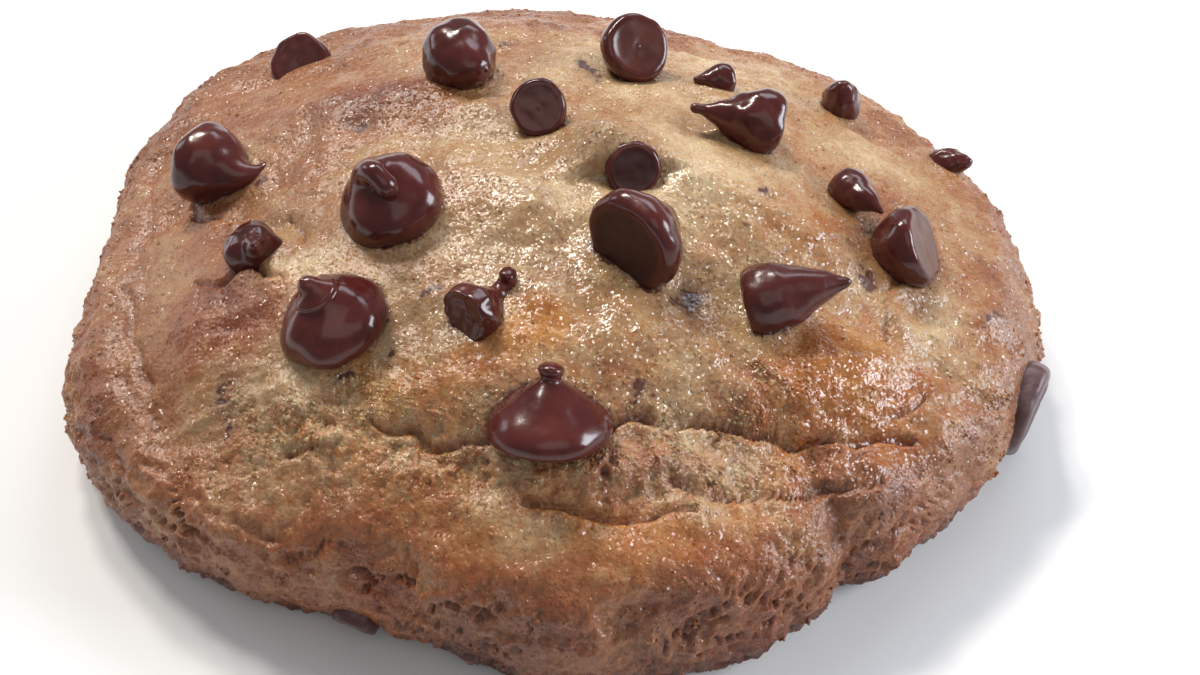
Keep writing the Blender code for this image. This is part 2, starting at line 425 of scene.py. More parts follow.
@dataclass(frozen=True)
class DoughFinish:
    """Baked dough: tan to brown with its browning, grainy, and glinting where buttery, with painted shade in
    its dips, pores and cracks.
    """

    bake: tuple = (
        (0.0, (204, 176, 138)),
        (0.25, (178, 141, 101)),
        (0.5, (156, 103, 64)),
        (0.75, (130, 77, 46)),
        (1.0, (88, 48, 32)),
    )
    amber: tuple = (1.01, 0.71, 0.38, 1.0)
    film: tuple = (126, 100, 82)
    cocoa: tuple = (84, 38, 32)
    # gap: colour of painted shade, multiplied into pores, gaps and cracks.
    gap: tuple = (0.5, 0.33, 0.2, 1.0)
    roughness: float = 0.42
    grain: float = 0.5
    crystal: float = 0.24
    scatter: tuple = (0.001, 0.00045, 0.0002)

    def material(self) -> bpy.types.Material:
        """Builds the material that reads the dough's tones.

        Returns:
            The finished material.
        """
        graph = Graph("baked_dough")
        browned_and_shade = graph.attribute("browned_and_shade")
        hollow = graph.attribute("hollow")
        cocoa = graph.attribute("cocoa")
        shine = graph.attribute("shine")
        crumb = graph.attribute("crumb")
        mottle = graph.noise(3.4, 4.0, 0.62)
        fine = graph.noise(0.75, 4.0, 0.66, 0.3)
        dust = graph.noise(0.3, 3.0, 0.62, 0.6)
        grain = Value(graph, graph.cells(self.grain, "Distance"))
        # low rises in the dips of the fine relief and falls on its tops: painted shade, used below to make
        # dips browner and more orange and tops paler.
        low = (0.5 - fine) * (0.5 + crumb * 0.6) + (0.5 - dust) * 0.3 + (grain - 0.45) * (0.05 + crumb * 0.2)

        level = browned_and_shade + (mottle - 0.5) * 0.55 + low * 0.8 + hollow * 0.2
        stops = [(place, linear_colour(*tone)) for place, tone in self.bake]
        colour = graph.ramp(level, stops)
        orange = graph.attribute("amber") * (0.5 + mottle) + (mottle - 0.46) * 1.3 + low * 1.1
        orange = (orange + hollow * 0.3 + crumb * 0.25).rise(0.0, 1.2)
        colour = graph.blend(orange, colour, graph.blend(1.0, colour, self.amber, "MULTIPLY"))
        colour = graph.blend(cocoa.rise(0.1, 0.7) * 0.4, colour, linear_colour(*self.film))
        stain = (cocoa + (fine - 0.5) * 1.7 + (grain - 0.5) * 0.4).rise(0.55, 0.7)
        colour = graph.blend(stain * 0.9, colour, linear_colour(*self.cocoa))
        # Painted shade: pores, gaps and cracks, by the cavity shade mask, are browned, made more orange and
        # multiplied darker by the gap colour.
        shade = graph.ramp(hollow, [(0.0, (1.0, 1.0, 1.0, 1.0)), (1.0, self.gap)])
        colour = graph.blend(1.0, colour, shade, "MULTIPLY")

        wet = (shine * (0.35 + mottle * 1.3)).rise(0.5, 0.95)
        height = fine * (0.18 + crumb * 0.2) * (1.0 - wet * 0.6) + dust * (0.06 + crumb * 0.08)
        height = height - grain * (0.03 + crumb * 0.1)
        relief = graph.bump(height)
        tint = graph.cells(self.crystal, "Color")
        split = graph.add("ShaderNodeSeparateColor", {}, {0: tint})
        crystal = (Value(graph, split.outputs[2]) + shine * 0.3).rise(0.8, 0.84)
        crystal = crystal * (1.0 - hollow) * (1.0 - stain)
        tilt = graph.vectors("SUBTRACT", tint, (0.5, 0.5, 0.85))
        facet = graph.vectors("NORMALIZE", graph.vectors("ADD", relief, tilt))
        inputs = {0: crystal * 0.85, 4: relief, 5: facet}
        mixed = graph.add("ShaderNodeMix", {"data_type": "VECTOR"}, inputs)
        gloss = self.roughness - shine * 0.1 - wet * 0.16
        gloss = gloss - crystal * (gloss - 0.2) + stain * 0.05
        return graph.finish(
            {
                "Specular IOR Level": 0.7,
                "Subsurface Weight": 0.5,
                "Subsurface Radius": self.scatter,
                "Subsurface Scale": 1.0,
            },
            Base_Color=colour,
            Roughness=gloss,
            Normal=mixed.outputs[1],
        )


@dataclass(frozen=True)
class ChocolateFinish:
    """Dark chocolate that has melted a little and set again: smooth and softly glossy."""

    deep: tuple = (60, 21, 19)
    warm: tuple = (94, 39, 34)
    dark_face: tuple = (50, 20, 18)
    pale_face: tuple = (104, 64, 48)
    # Grey film colour of bloom; on the drop in the hollow it is also painted sheen, a bluish reflection of
    # the windows.
    bloom_and_sheen: tuple = (100, 88, 92)
    roughness: float = 0.2

    def material(self) -> bpy.types.Material:
        """Builds the material that reads the drops' tones.

        Returns:
            The finished material.
        """
        graph = Graph("dark_chocolate")
        face = graph.attribute("face")
        shade = graph.attribute("face_shade")
        bloom_and_sheen = graph.attribute("bloom_and_sheen")
        cloud = graph.noise(2.4, 3.0)
        film = graph.noise(0.5, 3.0, 0.6, 0.4)
        stops = [(0.3, linear_colour(*self.deep)), (0.7, linear_colour(*self.warm))]
        colour = graph.ramp(cloud * 0.8 + film * 0.2, stops)
        flat = graph.blend(shade, linear_colour(*self.dark_face), linear_colour(*self.pale_face))
        colour = graph.blend(face * 0.9, colour, flat)
        # Bloom mixed in by noise: grey film, and on the drop in the hollow painted sheen.
        colour = graph.blend((bloom_and_sheen * (cloud + film)).rise(0.2, 1.1), colour, linear_colour(*self.bloom_and_sheen))
        gloss = self.roughness + (film - 0.5) * 0.14 + (cloud - 0.5) * 0.16 + face * 0.18 + bloom_and_sheen * 0.3
        height = graph.noise(1.6, 2.0) * 0.1 + film * (0.02 + bloom_and_sheen * 0.12)
        return graph.finish(
            {"Specular IOR Level": 0.42, "Coat Roughness": 0.1},
            Base_Color=colour,
            Roughness=gloss,
            Coat_Weight=(0.12 - face * 0.1) * (1.0 - bloom_and_sheen),
            Normal=graph.bump(height),
        )


# ---------------------------------------------------------------- dough


@dataclass
class Crumbs:
    """Grains of baked crumb half sunk in the dough: flattened twenty-sided beads."""

    name: str
    count: int
    smallest: float
    largest: float
    sunk: float
    seed: int

    @staticmethod
    def bead() -> tuple[np.ndarray, np.ndarray]:
        """Corners and triangles of an icosahedron of radius 1."""
        golden = (1 + math.sqrt(5)) / 2
        flat = np.array([(0, a, b * golden) for a in (-1, 1) for b in (-1, 1)], float)
        corners = np.concatenate([flat, np.roll(flat, 1, axis=1), np.roll(flat, 2, axis=1)])
        triples = np.array(list(itertools.combinations(range(len(corners)), 3)))
        steps = corners[triples] - corners[np.roll(triples, 1, axis=1)]
        faces = triples[np.linalg.norm(steps, axis=2).max(axis=1) < 2.1]
        a, b, c = corners[faces[:, 0]], corners[faces[:, 1]], corners[faces[:, 2]]
        inward = (np.cross(b - a, c - a) * (a + b + c)).sum(axis=1) < 0
        faces[inward] = faces[inward][:, ::-1]
        return unit(corners), faces

    def build(
        self,
        surface: np.ndarray,
        outward: np.ndarray,
        tones: dict[str, np.ndarray],
        chance: np.ndarray,
        material: bpy.types.Material,
    ) -> bpy.types.Object:
        """Scatters the grains over the dough as one piece.

        Args:
            surface: points of the dough, in millimetres.
            outward: its normals.
            tones: its tones, which the grains share.
            chance: how likely each point is to carry a grain.
            material: the dough's material.

        Returns:
            The piece of joined grains.
        """
        random = np.random.default_rng(self.seed)
        chosen = random.choice(len(surface), self.count, replace=False, p=chance / chance.sum())
        size = self.smallest + (self.largest - self.smallest) * random.random(self.count) ** 2.2
        corners, faces = self.bead()
        turn = unit(random.normal(size=(self.count, 3)))
        aside = unit(np.cross(turn, unit(random.normal(size=(self.count, 3)))))
        axes = np.stack([turn, aside, np.cross(turn, aside)], axis=1)
        scale = size[:, None] * random.uniform([0.7, 0.8, 0.55], [1.3, 1.2, 0.9], (self.count, 3))
        wobble = 1.0 + 0.16 * random.normal(size=(self.count, len(corners), 1))
        beads = (corners[None] * wobble * scale[:, None, :]) @ axes
        middle = surface[chosen] - outward[chosen] * (self.sunk * size)[:, None]
        middle[:, 2] = np.maximum(middle[:, 2], 1.3 * size)
        points = (beads + middle[:, None, :]).reshape(-1, 3)
        joined = (faces[None] + (np.arange(self.count) * len(corners))[:, None, None]).reshape(-1, 3)
        shift = np.repeat(random.normal(size=self.count) * 0.13, len(corners))
        shared = {name: np.repeat(values[chosen], len(corners)) for name, values in tones.items()}
        shared["browned_and_shade"] = shared["browned_and_shade"] + shift
        # Grains stand proud of the dough, so they keep less of its painted cavity shade.
        shared["hollow"] = shared["hollow"] * 0.3
        shared["cocoa"] = shared["cocoa"] * 0.6
        piece = new_piece(self.name, points, [joined], shared)
        piece.data.materials.append(material)
        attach(piece, "root")
        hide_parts("dough")
        return piece


@dataclass(frozen=True)
class Spot:
    """A soft elliptical spot of the top: a swelling, or a patch of one tone."""

    x: float
    y: float
    half_length: float
    half_width: float
    turn: float
    amount: float

    def over(self, x: np.ndarray, y: np.ndarray) -> np.ndarray:
        """The amount times a Gaussian of the elliptical distance."""
        turn = math.radians(self.turn)
        along = (x - self.x) * math.cos(turn) + (y - self.y) * math.sin(turn)
        across = (y - self.y) * math.cos(turn) - (x - self.x) * math.sin(turn)
        far = (along / self.half_length) ** 2 + (across / self.half_width) ** 2
        return self.amount * np.exp(-0.9 * far)


@dataclass(frozen=True)
class Fold:
    """A groove along a smooth line, with a raised lip on both sides."""

    points: tuple
    half_width: float
    depth: float
    lip: float = 0.0
    pieces: int = 24

    def height(self, x: np.ndarray, y: np.ndarray) -> np.ndarray:
        """Minus the depth times a Gaussian of the distance, plus the lip beyond the groove."""
        line = curve_through(self.points, np.linspace(0, 1, self.pieces + 1))
        low, high = line.min(axis=0) - 4 * self.half_width, line.max(axis=0) + 4 * self.half_width
        near = (x > low[0]) & (x < high[0]) & (y > low[1]) & (y < high[1])
        away = away_from_line(np.stack([x[near], y[near]], axis=-1), line)
        groove = np.exp(-((away / self.half_width) ** 2))
        bank = np.exp(-(((away - 1.9 * self.half_width) / self.half_width) ** 2))
        height = np.zeros_like(x)
        height[near] = self.lip * bank - self.depth * groove
        return height


class Tone(Enum):
    """What a patch of colour on the dough changes."""

    BROWNED_AND_SHADE = "browned_and_shade"
    AMBER = "amber"
    COCOA = "cocoa"
    SHINE = "shine"
    CRUMB = "crumb"


# Swellings of the top, and hollows where the amount is negative. The columns are x, y,
# half length, half width, turn in degrees and amount.
MOUNDS = (
    (-21, 12, 13, 5, 8, 1.3), (-30, -15, 7, 5.5, 20, 1.4), (-23, -25, 6.5, 3.5, -10, 0.8),
    (-4.5, -22, 7, 5, 55, 1.4), (10.5, -22, 7.5, 6, 0, 1.2), (15.5, -3, 5.5, 4.5, 0, 1.3),
    (23, -5.5, 5, 5, 0, 0.9), (24.5, -21.5, 6, 5, 0, 1.8), (19, -25, 3.2, 3, 0, 1.2),
    (5.6, 2.6, 5.5, 4.5, -20, 1.9), (-4, -3.5, 5.5, 3.5, -20, 0.9), (29, 3.5, 5, 9, 10, -0.9),
    (20.5, -14.5, 6.5, 5, 5, -1.7), (-9, 31, 17, 7, 0, 1.2), (-28, 31.5, 4.5, 3, 20, -1.2),
    (8, -37.5, 10, 4, 0, 0.9), (-13, -33.5, 10, 4, -12, 0.7), (28.5, -29.5, 8, 4.5, 35, 0.9),
    (-45, -2, 4, 14, 0, 0.5), (43, -5, 4, 14, 0, 0.5),
)

# Small swellings and dimples that the CAD solid leaves out.
DIMPLES = (
    (-20, 8, 2.0, 1.8, 0, -0.7), (-7, 8, 2.6, 2.6, 0, 0.5), (-1, -5.5, 2.6, 1.6, 30, 0.5),
    (32.5, -14.5, 1.8, 3.2, 15, 0.8), (-42, -5, 1.6, 3.6, 8, 0.5), (-39.3, -14.3, 1.6, 2.4, 20, 0.5),
    (33.5, 14.5, 2.0, 1.4, -30, -0.6), (42, -11, 2.6, 2.0, 20, 0.4), (16, -15.5, 1.6, 3.4, 10, -0.4),
    (20.5, -3.8, 1.2, 0.7, 30, -0.5), (12.5, -15, 2.6, 1.6, 30, -0.4), (28.8, -19.5, 4.0, 1.2, 10, 0.4),
    (-11, -25.5, 5, 2.0, -20, 0.6), (4, -31.5, 6, 1.5, 0, 0.7), (22, -31, 7, 1.6, 15, 0.6),
    (-18, -38, 5, 2, -20, -0.5), (7.2, -6.3, 3.4, 1.5, 0, 0.7), (-34, 23.5, 3, 1.6, 0, -0.7),
    (3.4, -17.5, 3.4, 1.8, -50, -0.6), (12.6, -14.6, 1.6, 3.0, 20, -0.5),
)

# Dough that has baked over the upper half of one drop.
COVER = Spot(5.8, -0.6, 4.8, 3.2, -10, 2.9)
COVER_EDGE = (-2.6, -1.8)
COVER_EDGE_SLOPE = 0.12
COVER_EDGE_X = 7.0

FOLDS = (
    Fold(((-43, 12), (-43, 5), (-42, -4.5), (-39, -15.5), (-35, -25), (-30.5, -29.5)), 2.4, 1.0),
    Fold(((-38, 3), (-31.5, -1.5), (-25.5, -5.5)), 2.0, 0.7),
    Fold(((1.5, -29.5), (13, -28), (26.5, -27.5), (33, -25)), 2.0, 0.75),
    Fold(((-19, -25.5), (-9.5, -29), (-4.5, -30)), 2.0, 0.4),
    Fold(((-6, -32), (4.5, -35), (16, -33), (27, -30.5)), 2.0, 0.6),
)

# Narrow cracks that only the baked surface has.
CRACKS = (
    Fold(((4.5, -28.2), (10, -27.2), (18.5, -27.4), (26.7, -27.0), (33, -25.4)), 0.3, 0.9, 0.12),
    Fold(((-16, -26.2), (-9.7, -28.6), (-5.5, -29.6)), 0.3, 0.7, 0.1),
    Fold(((-1.8, -33.6), (4.3, -35.4), (12.5, -34.6)), 0.3, 0.8, 0.1),
    Fold(((10.5, -32.2), (15, -33.2), (21, -32.2), (29, -30.4)), 0.3, 0.6, 0.1),
    Fold(((-34.5, -9.5), (-31.5, -11.0), (-28.8, -10.6), (-24.5, -12.3)), 0.3, 0.8, 0.1),
    Fold(((-38.2, 3.2), (-35, 0), (-31.5, -1.6)), 0.3, 0.5, 0.1),
    Fold(((-25.4, -3.4), (-24.2, -5.0), (-23.8, -8.0)), 0.3, 0.6, 0.1),
    Fold(((-30, -30.3), (-24, -28.8), (-17.5, -27.4)), 0.3, 0.4, 0.05),
    Fold(((-42.8, -6), (-40.2, -15), (-36.5, -23.5)), 0.36, 0.4, 0.1),
    Fold(((33.0, -9.5), (31.2, -13.5), (31.5, -17.5)), 0.36, 0.4, 0.1),
    Fold(((-37, -26.5), (-33.5, -29.8), (-29, -32.3), (-22, -35.5)), 0.3, 0.4, 0.1),
    Fold(((34, -21), (31, -24.5), (26.5, -29.0)), 0.3, 0.4, 0.1),
)


@dataclass
class Dough:
    """The baked dough: one closed surface, turned on an uneven rim and dressed with relief."""

    radius: float = 48.0
    rim_band: float = 0.06
    rim_radii: tuple = (
        50.0, 47.4, 45.4, 42.4, 44.8, 46.9, 52.8, 52.6, 49.2, 51.0, 47.1, 42.1, 44.5, 45.2, 45.8, 48.9,
    )
    rim_break: tuple = (-53.0, 2.6, 2.2)
    profile: tuple = (
        (0.0, 24.5),
        (0.14, 24.4),
        (0.28, 23.7),
        (0.42, 22.4),
        (0.55, 20.5),
        (0.67, 18.1),
        (0.77, 15.8),
        (0.85, 14.2),
        (0.915, 12.9),
        (0.965, 10.8),
        (0.993, 8.0),
        (1.0, 5.2),
        (0.988, 2.6),
        (0.962, 0.9),
        (0.925, 0.15),
        (0.88, 0.0),
    )
    cells: int = 288
    underside_shares: tuple = (0.97, 0.93, 0.88, 0.8, 0.7, 0.58, 0.45, 0.32, 0.2, 0.1, 0.04)
    noise: Noise = field(default_factory=lambda: Noise(11))

    def rim(self, angle: np.ndarray) -> np.ndarray:
        """Rim radius in a direction: a smooth loop through the radii, less the break."""
        looped = self.rim_radii[-1:] + self.rim_radii + self.rim_radii[:2]
        turn = np.mod(angle, 2 * math.pi) / (2 * math.pi) * len(self.rim_radii)
        rows = [[radius] for radius in looped]
        smooth = curve_through(rows, (turn + 1) / (len(looped) - 1))[..., 0]
        direction, half_width, depth = self.rim_break
        off = np.angle(np.exp(1j * (angle - math.radians(direction)))) * self.radius
        return smooth - depth * np.exp(-((off / half_width) ** 2))

    def relief(self, x: np.ndarray, y: np.ndarray) -> np.ndarray:
        """Height that the mounds and folds add to the plain top, in millimetres."""
        height = np.zeros_like(x)
        for row in MOUNDS + DIMPLES:
            height = height + Spot(*row).over(x, y)
        for fold in FOLDS:
            height = height + fold.height(x, y)
        edge = smooth_step(*COVER_EDGE, y - COVER_EDGE_SLOPE * (x - COVER_EDGE_X))
        return height + COVER.over(x, y) * edge

    def cracks(self, x: np.ndarray, y: np.ndarray) -> np.ndarray:
        """Height of the narrow cracks, their lines and depths made uneven by noise."""
        place = np.stack([x, y, np.zeros_like(x)], axis=-1)
        shift_x = 0.8 * self.noise.octaves(place / 4.5, 2)
        shift_y = 0.8 * self.noise.octaves(place / 4.5 + 40.0, 2)
        depth = 1.0 + 0.7 * self.noise.octaves(place / 4.0 + 80.0, 2)
        height = np.zeros_like(x)
        for crack in CRACKS:
            height = height + crack.height(x + shift_x, y + shift_y)
        return height * np.clip(depth, 0.1, 1.7)

    def base_surface(self, share: np.ndarray, angle: np.ndarray) -> tuple[np.ndarray, np.ndarray]:
        """Points of the form without cracks: the profile at a share of its length, carried to the rim.

        Args:
            share: 0 at the middle of the top to 1 at the foot of the side.
            angle: direction from the middle, in radians.

        Returns:
            Rows of x, y, z in millimetres, and the share of the rim radius.
        """
        rows = curve_through(self.profile[:-1], np.linspace(0, 1, 900))
        rows[:, 1] = np.maximum(rows[:, 1], 0.0)
        lengths = np.hypot(np.diff(rows[:, 0]) * self.radius, np.diff(rows[:, 1]))
        along = np.concatenate([[0.0], np.cumsum(lengths)])
        along /= along[-1]
        out = np.interp(share, along, rows[:, 0])
        height = np.interp(share, along, rows[:, 1])
        radius = out * self.rim(angle)
        x = radius * np.cos(angle)
        y = radius * np.sin(angle)
        widest = along[rows[:, 0].argmax()]
        fade = np.clip((1 - out) / self.rim_band, 0, 1) * (share < widest)
        height = height + fade * self.relief(x, y)
        return np.stack([x, y, height], axis=-1), np.where(share < widest, out, 2.0 - out)

    def disc_grid(self) -> tuple[np.ndarray, np.ndarray]:
        """Share and angle of a square grid laid over the disc: squares become rings."""
        steps = np.linspace(-1.0, 1.0, self.cells + 1)
        a, b = np.meshgrid(steps, steps, indexing="xy")
        wide = np.abs(a) >= np.abs(b)
        reach = np.where(wide, a, b)
        safe = np.where(reach == 0.0, 1.0, reach)
        quarter = math.pi / 4
        angle = np.where(wide, quarter * b / safe, 2 * quarter - quarter * a / safe)
        angle = angle + np.where(reach < 0, math.pi, 0.0)
        return np.abs(reach), angle

    def tones(self, points: np.ndarray, out: np.ndarray, drops: list["Drop"]) -> dict[str, np.ndarray]:
        """Colour tones at each point: patches with uneven edges, browning by the rim, and a darker front side
        and foot; the darker front side is partly painted shade.

        Args:
            points: rows of x, y, z in millimetres.
            out: share of the rim radius, above 1 below the widest line.
            drops: the chocolate drops, which stain the dough that touches them.

        Returns:
            Tone name to values, each 0 to about 1.
        """
        x, y, z = points[:, 0], points[:, 1], points[:, 2]
        warp = 1.4 * self.noise.octaves(points / 4.5 + 9.0, 3)
        sway = 1.4 * self.noise.octaves(points / 4.5 + 29.0, 3)
        tones = {tone.value: np.zeros(len(points)) for tone in Tone}
        for tone, patches in PATCHES.items():
            for row in patches:
                tones[tone.value] += Spot(*row).over(x + warp, y + sway)
        side = smooth_step(0.86, 1.0, out)
        front = smooth_step(-12.0, -40.0, y)
        foot = smooth_step(7.0, 1.0, z)
        # Browning by the rim, plus a darker front of the side and a darker foot; the darker front is partly
        # painted shade, as the front faces away from the warm lamps.
        tones["browned_and_shade"] += 0.26 + 0.2 * smooth_step(0.78, 0.96, out) + 0.22 * front * side
        tones["browned_and_shade"] += 0.32 * foot + 0.17 * self.noise.octaves(points / 9.0 + 3.0, 3)
        tones["amber"] += 0.45 * self.noise.octaves(points / 7.0 + 17.0, 3)
        tones["crumb"] += 0.22 + 0.36 * side * (0.4 + 0.6 * front)
        tones["shine"] += 0.2 + 0.3 * smooth_step(-26.0, -4.0, x) * (1 - side)
        calm = np.full(len(points), FAR)
        for drop in drops:
            near = drop.distance(points)
            calm = np.minimum(calm, near)
            stain = 0.62 * np.exp(-((np.maximum(near, 0) / drop.melt) ** 2))
            tones["cocoa"] = np.maximum(tones["cocoa"], stain)
            tones["shine"] += 0.5 * stain
        tones["calm"] = smooth_step(2.2, 0.3, calm)
        return tones

    def surface_detail(
        self, points: np.ndarray, out: np.ndarray, crumb: np.ndarray
    ) -> tuple[np.ndarray, np.ndarray]:
        """Fine relief along the normal: lumps, grains, pores, and ledges on the side.

        Args:
            points: rows of x, y, z in millimetres.
            out: share of the rim radius, above 1 below the widest line.
            crumb: how open and crumbly the surface is.

        Returns:
            Millimetres outward, and how deep each point lies in a pore or a gap.
        """
        noise = self.noise
        sway = [noise.octaves(points / 1.8 + shift, 2) for shift in (11.0, 23.0, 37.0)]
        swayed = points + 0.45 * np.stack(sway, axis=-1)
        lumps = 0.6 * noise.octaves(points / 7.5, 3)
        rough = (0.06 + 0.3 * crumb) * noise.octaves(points / 1.7 + 5.0, 3)
        nearest, level = noise.cells(swayed)
        grains = (0.02 + 0.26 * crumb) * (0.5 - nearest + 0.7 * (level - 0.5))
        spot, chance = noise.cells(swayed / 1.7 + 7.0)
        pores = -0.5 * smooth_step(0.3, 0.08, spot) * smooth_step(0.72, 0.9, chance) * (0.05 + 1.4 * crumb**2)
        fine = (0.03 + 0.2 * crumb) * noise.octaves(swayed / 0.85 + 15.0, 2)
        side = smooth_step(0.9, 1.0, out)
        layered = swayed * np.array([0.13, 0.13, 0.4])
        ridge = 1.0 - np.abs(noise.octaves(layered + 60.0, 3))
        here = smooth_step(-0.2, 0.35, noise.gradient(points / 9.0 + 33.0))
        ledges = -0.8 * side * here * smooth_step(0.9, 0.99, ridge)
        blocks = side * 0.5 * noise.octaves(layered * 2.6 + 4.0, 3)
        gaps = np.maximum(-(0.7 * grains + pores + 0.8 * ledges), 0.0)
        return lumps + rough + fine + grains + pores + ledges + blocks, gaps

    def mesh(self, drops: list["Drop"]) -> tuple[np.ndarray, list[np.ndarray], dict[str, np.ndarray]]:
        """Top and side from the square grid, then rings inward under it to one point.

        Args:
            drops: the chocolate drops set in the dough.

        Returns:
            Points in millimetres, faces, and the tones of the points.
        """
        share, angle = self.disc_grid()
        points, out = self.base_surface(share, angle)
        slope_b, slope_a = np.gradient(points, axis=(0, 1))
        normal = unit(np.cross(slope_a, slope_b)).reshape(-1, 3)
        points = points.reshape(-1, 3)
        out = out.ravel()
        tones = self.tones(points, out, drops)
        detail, gaps = self.surface_detail(points, out, tones["crumb"])
        calm = 1.0 - 0.75 * tones.pop("calm")
        detail, gaps = detail * calm, gaps * calm
        cracked = self.cracks(points[:, 0], points[:, 1]) * np.clip((1 - out) / self.rim_band, 0, 1)
        # Painted shade: pores, gaps and cracks get darker the deeper they lie.
        tones["hollow"] = np.clip(1.2 * gaps - 0.9 * cracked - 0.08, 0.0, 1.0)
        lips = np.zeros(len(points))
        for drop in drops:
            lips += drop.lip * np.exp(-((np.maximum(drop.distance(points), 0) / 0.8) ** 2))
        moved = points + normal * detail[:, None]
        moved[:, 2] += lips + cracked
        foot_line = share.ravel() > 0.995
        moved[:, 2] = np.where(foot_line, points[:, 2], np.maximum(moved[:, 2], 0.02))

        side = self.cells + 1
        index = np.arange(side * side).reshape(side, side)
        loop = np.concatenate([index[0, :-1], index[:-1, -1], index[-1, :0:-1], index[:0:-1, 0]])
        foot = moved[loop]
        rings = [foot * np.array([part, part, 0.0]) for part in self.underside_shares]
        under = np.concatenate(rings + [np.zeros((1, 3))])
        count = len(loop)
        total = side * side
        ladder = np.concatenate([loop, total + np.arange(len(rings) * count)])
        bands = ladder[grid_faces(len(rings) + 1, count, True)][:, ::-1]
        last = total + (len(rings) - 1) * count + np.arange(count)
        centre = np.full(count, total + len(rings) * count)
        fan = np.stack([last, centre, np.roll(last, -1)], axis=-1)
        for name, values in tones.items():
            tones[name] = np.concatenate([values, self._under_tone(name, under)])
        return np.concatenate([moved, under]), [grid_faces(side, side, False), bands, fan], tones

    @staticmethod
    def _under_tone(name: str, under: np.ndarray) -> np.ndarray:
        """Tones of the underside: evenly browned by the tray, and matt."""
        values = {"browned_and_shade": 0.72, "crumb": 0.3, "shine": 0.1}
        return np.full(len(under), values.get(name, 0.0))

    def build(self, drops: list["Drop"]) -> list[bpy.types.Object]:
        """Makes the dough and its crumbs, and lets them stand for the CAD solid.

        Args:
            drops: the chocolate drops set in the dough.

        Returns:
            The dough piece and the crumb pieces.
        """
        points, faces, tones = self.mesh(drops)
        piece = new_piece("baked_dough", points, faces, tones)
        material = DoughFinish().material()
        piece.data.materials.append(material)
        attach(piece, "root")
        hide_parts("dough")
        outward = np.zeros((len(points), 3), np.float32)
        piece.data.vertices.foreach_get("normal", outward.ravel())
        top = np.arange(len(points)) < (self.cells + 1) ** 2
        clear = np.min([drop.distance(points) for drop in drops], axis=0) > 0.35
        crumb = np.clip(tones["crumb"] - 0.24, 0.0, 1.0)
        chance = (crumb + 0.01) * top * clear * (points[:, 2] > 0.6)
        chance = chance * smooth_step(-0.3, 0.5, self.noise.octaves(points / 3.0 + 50.0, 2))
        inland = 1 - 0.93 * smooth_step(-27.0, -34.0, points[:, 1] - 0.2 * np.abs(points[:, 0]))
        return [piece] + [kind.build(points, outward, tones, chance * inland, material) for kind in CRUMBS]


CRUMBS = (
    Crumbs("coarse_crumbs", 1500, 0.2, 0.5, 0.5, 3),
    Crumbs("fine_crumbs", 7000, 0.1, 0.26, 0.3, 5),
)

